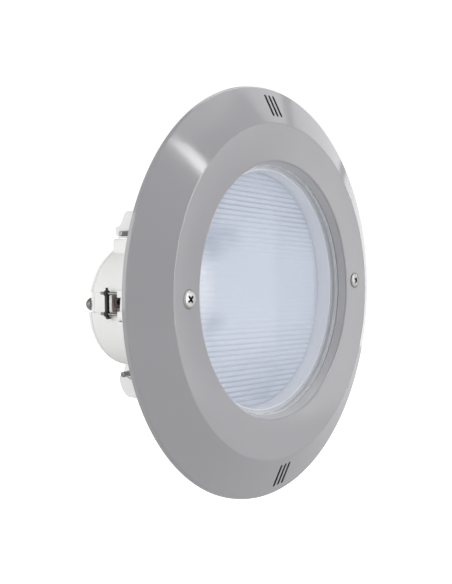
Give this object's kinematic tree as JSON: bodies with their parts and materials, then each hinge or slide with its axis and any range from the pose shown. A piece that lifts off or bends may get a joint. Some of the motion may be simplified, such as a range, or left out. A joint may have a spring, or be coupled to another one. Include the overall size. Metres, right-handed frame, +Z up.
{
  "type": "underwater pool light",
  "caption": "Round underwater pool light: sloped grey faceplate, ribbed clear window, sealed bowl and an offset rear drum with sprung latches and a cable pocket.",
  "frame": {"origin": "centre of the faceplate's rear rim, on the pool wall's plane", "axes": "-Y out of the wall along the beam, +Y into the niche, +Z up, +X to the right for someone in the pool who faces the light"},
  "size_m": [0.28, 0.1525, 0.28],
  "materials": {
    "grey_abs": "semi-gloss light grey ABS, fine moulded grain",
    "clear_lens": "clear polished window",
    "prism_plate": "frosted prismatic acrylic with ribs and flutes",
    "white_abs": "off-white moulded ABS",
    "latch_white": "off-white moulded acetal",
    "grey_silicone": "soft silicone",
    "black_rubber": "matt EPDM rubber",
    "gland_black": "dark nylon",
    "brass": "turned brass",
    "stainless_steel": "polished stainless steel",
    "aluminium": "die-cast, bare",
    "white_board": "white solder mask",
    "green_board": "green solder mask",
    "ferrite": "dark coated ferrite",
    "green_plastic": "green terminal plastic",
    "red_wire": "red insulation",
    "black_wire": "black insulation",
    "led_phosphor": "yellow phosphor under a clear dome"
  },
  "bodies": {
    "fixture": {"board_screw_1": "stainless_steel", "board_screw_2": "stainless_steel", "board_screw_3": "stainless_steel", "body_seal": "black_rubber", "bottom_latch_pin": "stainless_steel", "bottom_latch_spring": "stainless_steel", "cable_gland": "gland_black", "clamp_band": "black_rubber", "clamp_ring": "white_abs", "clamp_rod_lower": "stainless_steel", "clamp_rod_upper": "stainless_steel", "clamp_screw_1": "stainless_steel", "clamp_screw_2": "stainless_steel", "clamp_screw_3": "stainless_steel", "clamp_screw_4": "stainless_steel", "clamp_screw_5": "stainless_steel", "clamp_screw_6": "stainless_steel", "cover_gasket": "black_rubber", "cover_screw_1": "stainless_steel", "cover_screw_2": "stainless_steel", "cover_screw_3": "stainless_steel", "cover_screw_4": "stainless_steel", "driver_board": "green_board", "driver_capacitor": "aluminium", "driver_inductor": "ferrite", "face_insert_left": "brass", "face_insert_right": "brass", "face_screw_left": "stainless_steel", "face_screw_right": "stainless_steel", "faceplate": "grey_abs", "gland_seal": "black_rubber", "heat_sink": "aluminium", "housing_screw_1": "stainless_steel", "housing_screw_2": "stainless_steel", "housing_screw_3": "stainless_steel", "housing_screw_4": "stainless_steel", "lamp_body": "white_abs", "lead_negative": "black_wire", "lead_positive": "red_wire", "led_1": "led_phosphor", "led_2": "led_phosphor", "led_3": "led_phosphor", "led_4": "led_phosphor", "led_5": "led_phosphor", "led_6": "led_phosphor", "led_7": "led_phosphor", "led_board": "white_board", "lens": "clear_lens", "lens_gasket": "grey_silicone", "prism_plate": "prism_plate", "rear_cover": "white_abs", "rear_housing": "white_abs", "reflector": "white_abs", "terminal_block": "green_plastic", "top_latch_pin": "stainless_steel", "top_latch_spring": "stainless_steel"},
    "top_latch": {"top_latch": "latch_white"},
    "bottom_latch": {"bottom_latch": "latch_white"}
  },
  "joints": [
    {"name": "top_latch_hinge", "type": "hinge", "parent": "fixture", "child": "top_latch", "pos_m": [0, 0.1215, 0.0401], "axis": [1, 0, 0], "range_deg": [0, 60], "stiffness_Nm_per_rad": 0.08, "springref_deg": -20.05, "deforming": ["top_latch_spring"]},
    {"name": "bottom_latch_hinge", "type": "hinge", "parent": "fixture", "child": "bottom_latch", "pos_m": [0, 0.1215, -0.0677], "axis": [-1, 0, 0], "range_deg": [0, 60], "stiffness_Nm_per_rad": 0.08, "springref_deg": -20.05, "deforming": ["bottom_latch_spring"]}
  ]
}
